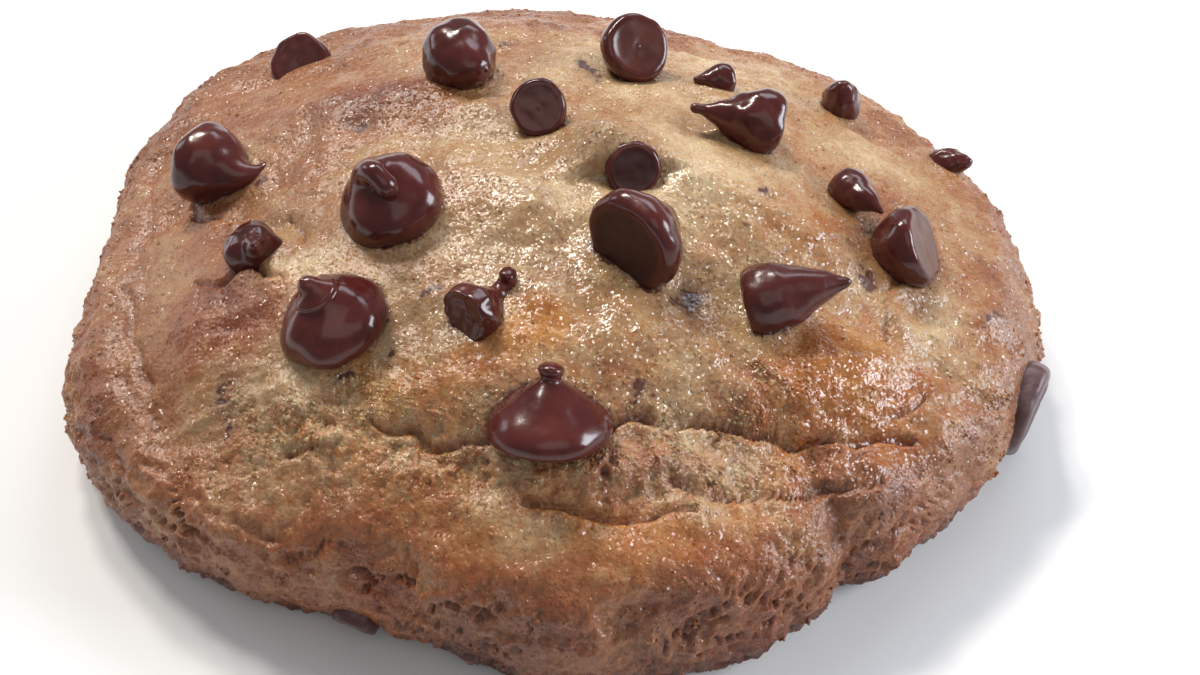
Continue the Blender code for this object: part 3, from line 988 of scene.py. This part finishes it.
# Patches of colour on the dough, tone by tone, in the same columns as the swellings.
PATCHES = {
    Tone.BROWNED_AND_SHADE: (
        # The wide patches on the left, round (-34, 16) and (-36, -12), darken it there partly as painted
        # shade for the weaker light on that side.
        (-19, 10.5, 9, 4.5, 8, 0.42), (-34, 16, 16, 18, 0, 0.22), (-36, -12, 8, 16, 10, 0.14),
        (-8, 34, 30, 8, 0, 0.3), (-20, -4, 12, 8, 0, 0.12), (-29, -16, 6, 5, 20, 0.3),
        (25, -22, 5, 4.5, 0, 0.12), (47, -6, 6, 18, 0, 0.12), (3, -12, 14, 10, 0, -0.06),
        (16, -2.5, 3.2, 2.6, 0, -0.3), (-24, -11, 6, 2.4, 10, -0.16), (14, 19, 12, 7, -15, -0.22),
        (30, 12, 12, 8, -35, -0.1), (6, -4, 18, 12, 0, -0.14), (32, -2, 8, 12, 0, 0.24),
        (6, 10, 40, 26, 0, 0.08), (8, -31, 13, 3.5, 0, 0.17), (-24, -28, 7, 3.5, 0, -0.14),
        (-30, -34, 12, 5, -30, -0.1), (-32, 6, 4, 3, 0, -0.2), (-9, 10, 5, 6, 0, -0.15),
        (-24, -12, 2.5, 1.5, 0, -0.3), (26, 23, 14, 6, -30, 0.1),
    ),
    Tone.AMBER: (
        (14, 19, 14, 8, -15, -0.3), (4, -6, 16, 12, 0, -0.55), (-1.5, -19.5, 4.5, 3.2, 30, 1.5),
        (-6.5, -24, 3.5, 3, 50, 0.5), (25.5, -22, 5, 4, 0, 1.5), (-28, -17, 6, 3, 15, 0.9),
        (-17, 14, 9, 3, 8, 0.7), (-30, 20, 8, 6, 0, 0.35), (-14, -24, 6, 3, -10, 0.35),
        (30, 0, 6, 12, 0, 0.25), (-33, 12, 6, 5, 0, 0.4), (-36, -8, 5, 9, 0, 0.35),
        (34, -22, 6, 8, -30, 0.4), (8, -37.5, 16, 3.5, 0, 0.8), (-12, -36, 12, 4, -12, 0.5),
    ),
    Tone.COCOA: (
        (-20, 8, 1.0, 0.9, 0, 1.1), (-17.8, -22.9, 1.3, 0.6, -10, 1.1), (7.3, -25.4, 1.1, 0.9, 30, 0.9),
        (20.1, -3.9, 1.0, 0.6, 50, 0.9), (-29.5, -23.5, 1.3, 4.0, -8, 0.62),
        (12.8, -15.6, 2.4, 1.7, 30, 0.85), (3.2, 16, 0.9, 1.8, 0, 0.9), (-6, 24, 2.2, 1.2, 10, 0.6),
        (42, -11, 2.2, 1.3, 20, 0.62), (30, -10.3, 1.8, 0.7, 5, 0.9), (-10.9, -15.5, 0.6, 0.6, 0, 0.9),
        (-14.6, -20, 1.6, 1.1, 20, 0.6), (-42.2, -5, 1.3, 3.2, 8, 0.45),
        (-39.4, -14.3, 1.2, 1.8, 20, 0.5), (-5.2, -3.5, 4.5, 2.8, -20, 0.3),
        (-0.9, -5.4, 2.2, 1.2, 20, 0.35), (-6.8, 7.6, 2.2, 3.0, 0, 0.3), (4.5, 1.5, 4.5, 3.5, 0, 0.42),
        (32.5, -14.6, 1.6, 3.0, 15, 0.36), (-25, 27, 2.6, 1.6, 0, 0.32), (9.9, -31.8, 2.5, 1.2, 0, 0.5),
        (3.0, -31, 3.0, 1.2, 0, 0.25), (-3.9, -34.7, 2.6, 1.0, 0, 0.3),
    ),
    Tone.SHINE: (
        (8, -14, 14, 8, 10, 0.5), (10, -23, 6, 5, 0, 0.5), (25, -22, 6, 5, 0, 0.4),
        (28, -28, 10, 6, 30, 0.3), (3, -4, 18, 12, 0, 0.25),
    ),
    Tone.CRUMB: (
        (-23, -27, 8, 3.8, 0, 1.0), (8, -31.0, 15, 3.2, 0, 1.0), (-12, -31, 9, 4, -15, 0.4),
        (19, -25, 3.4, 3, 0, 0.9),
    ),
}


# ---------------------------------------------------------------- chocolate drops


class Cut(Enum):
    """Shape family of a drop: (share of its radius, share of its height), base to tip."""

    DOME = (
        (0.0, 0.03), (0.6, 0.03), (0.82, 0.0), (0.94, 0.05), (1.0, 0.16), (0.97, 0.28), (0.88, 0.42),
        (0.72, 0.56), (0.5, 0.67), (0.33, 0.75), (0.25, 0.82), (0.22, 0.89), (0.15, 0.96), (0.0, 1.0),
    )
    CONE = (
        (0.0, 0.01), (0.6, 0.01), (0.8, 0.0), (0.91, 0.02), (0.98, 0.09), (1.0, 0.18), (0.95, 0.3),
        (0.81, 0.45), (0.61, 0.59), (0.41, 0.72), (0.27, 0.82), (0.19, 0.9), (0.11, 0.97), (0.0, 1.0),
    )
    FOLDED = (
        (0.0, 0.0), (0.6, 0.0), (0.86, 0.01), (0.96, 0.06), (1.0, 0.16), (0.96, 0.28), (0.84, 0.42),
        (0.66, 0.54), (0.47, 0.63), (0.39, 0.67), (0.4, 0.72), (0.3, 0.77), (0.22, 0.83), (0.17, 0.91),
        (0.1, 0.97), (0.0, 1.0),
    )
    BELL = (
        (0.0, 0.0), (0.6, 0.0), (0.84, 0.01), (0.96, 0.06), (1.0, 0.15), (0.97, 0.25), (0.86, 0.36),
        (0.68, 0.47), (0.52, 0.57), (0.38, 0.66), (0.25, 0.74), (0.17, 0.8), (0.17, 0.84), (0.2, 0.89),
        (0.2, 0.94), (0.12, 0.985), (0.0, 1.0),
    )
    KNOBBED = (
        (0.0, 0.02), (0.6, 0.02), (0.84, 0.0), (0.95, 0.05), (1.0, 0.15), (0.94, 0.26), (0.8, 0.36),
        (0.62, 0.45), (0.48, 0.54), (0.38, 0.64), (0.32, 0.74), (0.3, 0.83), (0.32, 0.9), (0.25, 0.97),
        (0.0, 1.0),
    )
    DRAWN = (
        (0.0, 0.0), (0.6, 0.0), (0.86, 0.02), (0.97, 0.08), (1.0, 0.18), (0.93, 0.32), (0.74, 0.46),
        (0.5, 0.59), (0.32, 0.71), (0.2, 0.82), (0.15, 0.89), (0.15, 0.95), (0.09, 0.99), (0.0, 1.0),
    )
    CURLED = (
        (0.0, 0.03), (0.6, 0.03), (0.84, 0.0), (0.95, 0.07), (1.0, 0.17), (0.94, 0.28), (0.78, 0.39),
        (0.55, 0.48), (0.36, 0.55), (0.26, 0.63), (0.21, 0.73), (0.19, 0.83), (0.21, 0.91),
        (0.15, 0.98), (0.0, 1.0),
    )
    TEAR = (
        (0.0, 0.0), (0.6, 0.0), (0.84, 0.02), (0.96, 0.09), (1.0, 0.2), (0.93, 0.33), (0.78, 0.46),
        (0.6, 0.6), (0.42, 0.73), (0.26, 0.84), (0.17, 0.92), (0.1, 0.98), (0.0, 1.0),
    )
    BLUNT = (
        (0.0, 0.01), (0.58, 0.01), (0.78, 0.0), (0.9, 0.03), (0.97, 0.1), (1.0, 0.22), (0.97, 0.37),
        (0.88, 0.53), (0.73, 0.68), (0.56, 0.8), (0.4, 0.89), (0.22, 0.96), (0.0, 1.0),
    )


# Plain drops of the CAD model, which tell where in its box each base stands.
PLAIN_CUT = np.array(
    ((0.9, 0.0), (1.0, 0.16), (0.92, 0.34), (0.62, 0.58), (0.27, 0.79), (0.15, 0.95), (0.0, 1.0))
)
PLAIN_SMALL_CUT = np.array(((0.85, 0.0), (0.98, 0.1), (0.96, 0.3), (0.62, 0.58), (0.2, 0.88), (0.0, 1.0)))
SMALL_WIDTH = 6.0


@dataclass
class Drop:
    """A chocolate drop, set at its lean where its CAD solid is.

    The tip may curl: the centre line turns away by bend degrees past bend_from of the
    height, towards the side bend_to, in degrees round the axis. Reach makes the drop
    longer than the plain one. The dough rises by lip against its side and is stained
    over the width melt. Face_shade runs from a dark flat base to a pale one, and flat
    says how much the base differs from the sides.
    """

    node: str
    cut: Cut
    lean: float
    toward: float
    width: float
    height: float
    reach: float = 1.0
    bend: float = 8.0
    bend_to: float = 0.0
    bend_from: float = 0.5
    lip: float = 0.2
    melt: float = 0.2
    dents: float = 0.03
    face_shade: float = 0.3
    flat: float = 1.0
    # Grey bloom on the side pieces; on the drop in the hollow also painted sheen.
    bloom_and_sheen: float = 0.0
    sides: int = 84
    rows: int = 76
    place: np.ndarray = field(init=False)

    def __post_init__(self) -> None:
        """Finds the place of the base from the box of the CAD node."""
        low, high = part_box(self.node)
        middle = (np.array(low) + np.array(high)) / 2 / MM
        plain_cut = PLAIN_SMALL_CUT if self.width < SMALL_WIDTH else PLAIN_CUT
        plain = self.turned(plain_cut * np.array([self.width / 2, self.height]), 0.0) @ self.facing().T
        self.place = middle - (plain.min(axis=0) + plain.max(axis=0)) / 2

    def facing(self) -> np.ndarray:
        """Matrix that tips the drop's axis by its lean towards its direction."""
        lean, toward = math.radians(self.lean), math.radians(self.toward)
        tip = ((math.cos(lean), 0, math.sin(lean)), (0, 1, 0), (-math.sin(lean), 0, math.cos(lean)))
        ahead, aside = math.cos(toward), math.sin(toward)
        return np.array(((ahead, -aside, 0), (aside, ahead, 0), (0, 0, 1))) @ np.array(tip)

    def outline(self) -> np.ndarray:
        """Rows of radius and height from the middle of the base to the tip."""
        size = np.array([self.width / 2, self.height * self.reach])
        rows = curve_through(self.cut.value, np.linspace(0, 1, 400)) * size
        return even_steps(np.maximum(rows, 0.0), self.rows)

    def turned(self, outline: np.ndarray, bend: float) -> np.ndarray:
        """Points of an outline turned about the axis, ring by ring from the base to the tip.

        Each ring is a circle of the outline's radius, square to a centre line whose
        slope eases from 0 to the bend past bend_from of the height.
        """
        radius, height = outline[:, 0], outline[:, 1]
        slope = math.radians(bend) * smooth_step(self.bend_from, 1.0, height / height[-1])
        steps = np.diff(height, prepend=0.0)
        aside = np.cumsum(np.sin(slope) * steps)
        up = np.cumsum(np.cos(slope) * steps)
        around = np.linspace(0, 2 * math.pi, self.sides, endpoint=False)
        flat = radius[:, None] * np.cos(around)
        x = aside[:, None] + flat * np.cos(slope)[:, None]
        y = radius[:, None] * np.sin(around)
        z = up[:, None] - flat * np.sin(slope)[:, None]
        side = math.radians(self.bend_to)
        return np.stack(
            [x * math.cos(side) - y * math.sin(side), x * math.sin(side) + y * math.cos(side), z], axis=-1
        ).reshape(-1, 3)

    def distance(self, points: np.ndarray) -> np.ndarray:
        """Roughly how far each point is outside the unbent drop; negative inside it.

        Args:
            points: rows of x, y, z in millimetres.

        Returns:
            Distances in millimetres, cut off at FAR.
        """
        own = (points - self.place) @ self.facing()
        away = np.hypot(own[:, 0], own[:, 1])
        found = np.full(len(points), FAR)
        near = np.linalg.norm(own, axis=1) < max(self.width, self.height) + 5.0
        outline = self.outline()
        gap = np.hypot(away[near, None] - outline[:, 0], own[near, 2][:, None] - outline[:, 1]).min(axis=1)
        wall = outline[outline[:, 0].argmax() :]
        inside = away[near] < np.interp(own[near, 2], wall[:, 1], wall[:, 0], right=0.0)
        inside &= (own[near, 2] > 0) & (own[near, 2] < wall[-1, 1])
        found[near] = np.where(inside, -gap, gap)
        return found

    def build(self, noise: Noise, material: bpy.types.Material) -> bpy.types.Object:
        """Makes the drop with soft dents, dresses it and lets it stand for its CAD solid.

        Args:
            noise: the cookie's noise, for the dents.
            material: the chocolate.

        Returns:
            The drop piece.
        """
        outline = self.outline()
        own = self.turned(outline, self.bend)
        soft = self.dents * self.width * noise.octaves(own / (0.42 * self.width) + self.place / 7.0, 2)
        outward = unit(own - np.array([0.0, 0.0, 0.3 * self.height]))
        off_axis = np.repeat(smooth_step(0.0, 0.3, outline[:, 0]), self.sides)
        own = own + outward * (soft * off_axis)[:, None]
        widest = outline[:, 0].argmax()
        base = smooth_step(0.8, 0.7, outline[:, 0] / outline[widest, 0]) * (np.arange(self.rows) < widest)
        tones = {"face": np.repeat(base * self.flat, self.sides)}
        tones["face_shade"] = np.full(len(own), self.face_shade)
        tones["bloom_and_sheen"] = np.full(len(own), self.bloom_and_sheen)
        points = own @ self.facing().T + self.place
        first = np.arange(self.sides)
        last = len(points) - self.sides + first
        points[first] = points[first].mean(axis=0)
        points[last] = points[last].mean(axis=0)
        piece = new_piece(self.node + "_drop", points, [grid_faces(self.rows, self.sides, True)], tones)
        self._close_poles(piece)
        piece.data.materials.append(material)
        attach(piece, "root")
        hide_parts(self.node)
        return piece

    @staticmethod
    def _close_poles(piece: bpy.types.Object) -> None:
        """Merges the points that meet on the axis, so that the drop is one closed body."""
        shape = bmesh.new()
        shape.from_mesh(piece.data)
        bmesh.ops.remove_doubles(shape, verts=shape.verts, dist=MERGE)
        shape.to_mesh(piece.data)
        shape.free()


def make_drops() -> list[Drop]:
    """The drops and exposed pieces of chocolate, from the back of the cookie to its front."""
    return [
        Drop("chip_back_left", Cut.CONE, 147, 84, 7.0, 5.4, lip=-0.2, face_shade=0.2, flat=0.4),
        Drop("chip_back_lying", Cut.BLUNT, 76, -60, 7.8, 7.6, bend=25, bend_to=90),
        Drop("chip_back_flat", Cut.CONE, 139, 123, 7.5, 6.4, lip=-0.2, face_shade=0.7, flat=0.4),
        Drop("chip_small_flat", Cut.CONE, 134, 89, 5.7, 4.8, lip=-0.2, face_shade=0.5, melt=0.3, flat=0.5),
        Drop("chip_small_back", Cut.CONE, 70, -163, 4.0, 4.2),
        Drop("chip_drawn_tip", Cut.DRAWN, 72, 179, 7.0, 9.2, dents=0.045),
        Drop("chip_upright_back", Cut.BLUNT, 8, -120, 4.4, 4.6, dents=0.05),
        Drop("chip_rim_back", Cut.BLUNT, 65, -27, 3.4, 4.4, dents=0.05),
        Drop("chip_left_lying", Cut.DRAWN, 86, -28, 8.7, 9.2, bend=75, bend_to=90, melt=0.4),
        Drop(
            "chip_centre_left", Cut.CURLED, 22, -170, 10.3, 7.6,
            reach=1.4, bend=165, bend_to=120, bend_from=0.44, melt=0.25,
        ),
        Drop("chip_small_left", Cut.FOLDED, 39, -68, 5.6, 5.2, dents=0.05),
        Drop("chip_left", Cut.FOLDED, 17, 178, 10.3, 7.2, bend=20, bend_to=0, dents=0.035),
        Drop(
            "chip_small_curled", Cut.KNOBBED, 104, 50, 5.4, 6.6,
            reach=1.1, bend=85, bend_to=180, bend_from=0.4, dents=0.07, lip=0.0,
            face_shade=0.5, melt=0.3, flat=0.5,
        ),
        Drop("chip_front", Cut.BELL, 25, 85, 11.2, 6.3, reach=1.1, dents=0.02),
        Drop("chip_centre_flat", Cut.CONE, 96, 50, 9.8, 7.2, lip=-0.1, melt=0.7, face_shade=0.0),
        # The bloom on this drop is partly painted sheen, a bluish reflection of the windows.
        Drop("chip_hollow", Cut.TEAR, 72, 2, 7.0, 9.8, melt=0.6, bloom_and_sheen=0.22, lip=0.35),
        Drop("chip_right_flat", Cut.BLUNT, 123, 166, 8.0, 5.6, lip=-0.1, face_shade=0.9),
        Drop("chip_small_right", Cut.TEAR, 72, -62, 4.2, 6.8, bend=15, dents=0.03),
        Drop("chip_covered", Cut.CONE, 128, 97, 5.4, 4.6, lip=-0.3, melt=0.4, face_shade=0.1),
        Drop("chip_side_right", Cut.BLUNT, 88, 150, 10.0, 5.0, bloom_and_sheen=0.6, melt=0.1, dents=0.05),
        Drop("chip_side_front", Cut.BLUNT, 62, 66, 4.2, 3.8, bloom_and_sheen=0.5, melt=0.1, dents=0.05),
    ]


# ---------------------------------------------------------------- studio


@dataclass(frozen=True)
class Studio:
    """Pale floor, soft window light from the right, and the camera."""

    aim: tuple = (4.3, -9.9, 10.0)
    distance: float = 140.0
    elevation: float = 48.0
    lens: float = 41.94
    floor_side: float = 3.0
    floor_height: float = -0.3

    def camera(self) -> None:
        """Places the camera in front of the cookie, looking down at it."""
        data = bpy.data.cameras.new("camera")
        data.lens = self.lens
        data.sensor_width = 36.0
        data.clip_start = 0.01
        camera = bpy.data.objects.new("camera", data)
        tilt = math.radians(self.elevation)
        back = Vector((0.0, -math.cos(tilt), math.sin(tilt)))
        camera.location = (Vector(self.aim) + back * self.distance) * MM
        camera.rotation_euler = (math.pi / 2 - tilt, 0.0, 0.0)
        bpy.context.scene.collection.objects.link(camera)
        bpy.context.scene.camera = camera

    def floor(self) -> None:
        """Lays a plain pale floor just under the cookie."""
        half = self.floor_side / 2 / MM
        ends = ((-half, -half), (half, -half), (half, half), (-half, half))
        corners = np.array([(x, y, self.floor_height) for x, y in ends])
        floor = new_piece("floor", corners, [np.array([[0, 1, 2, 3]])])
        graph = Graph("pale_floor")
        floor.data.materials.append(graph.finish({"Base Color": (0.9, 0.9, 0.9, 1.0), "Roughness": 0.8}))

    @staticmethod
    def lamp(name: str, place: tuple, size: tuple, power: float, colour: tuple) -> None:
        """Hangs a rectangular lamp that faces the cookie; places and sizes in metres."""
        data = bpy.data.lights.new(name, "AREA")
        data.shape = "RECTANGLE"
        data.size, data.size_y = size
        data.energy = power
        data.color = colour
        lamp = bpy.data.objects.new(name, data)
        lamp.location = place
        lamp.rotation_euler = (-Vector(place)).to_track_quat("-Z", "Y").to_euler()
        bpy.context.scene.collection.objects.link(lamp)

    def lights(self) -> None:
        """A cool window on the right, a dimmer one behind on the left, warm lamps above and a soft sky."""
        self.lamp("right_window", (0.92, 0.05, 0.36), (0.46, 0.4), 8.5, (0.86, 0.92, 1.0))
        self.lamp("left_window", (-0.83, 0.44, 0.38), (0.3, 0.3), 1.0, (0.84, 0.9, 1.0))
        self.lamp("warm_lamp", (-0.4, 0.51, 0.78), (0.15, 0.15), 4.3, (1.0, 0.94, 0.86))
        self.lamp("second_lamp", (-0.2, 0.6, 0.78), (0.15, 0.15), 4.1, (1.0, 0.94, 0.86))
        self.lamp("back_window", (0.34, 0.8, 0.8), (0.6, 0.35), 3.0, (0.84, 0.9, 1.0))
        self.lamp("ceiling", (0.2, -0.9, 1.5), (1.4, 1.0), 3.2, (1.0, 0.97, 0.93))
        world = bpy.data.worlds.new("room")
        world.use_nodes = True
        world.node_tree.nodes["Background"].inputs[0].default_value = (0.93, 0.96, 1.0, 1.0)
        world.node_tree.nodes["Background"].inputs[1].default_value = 0.24
        bpy.context.scene.world = world
        bpy.context.scene.view_settings.view_transform = "Standard"


def main() -> None:
    """Builds the studio and every piece of the cookie, and reports each one."""
    logging.basicConfig(level=logging.INFO, format="%(name)s: %(message)s")
    studio = Studio()
    studio.camera()
    studio.floor()
    studio.lights()
    drops = make_drops()
    dough = Dough()
    chocolate = ChocolateFinish().material()
    pieces = dough.build(drops)
    pieces += [drop.build(dough.noise, chocolate) for drop in drops]
    for piece in pieces:
        LOG.info("%s: %d faces", piece.name, len(piece.data.polygons))


if __name__ == "__main__":
    main()
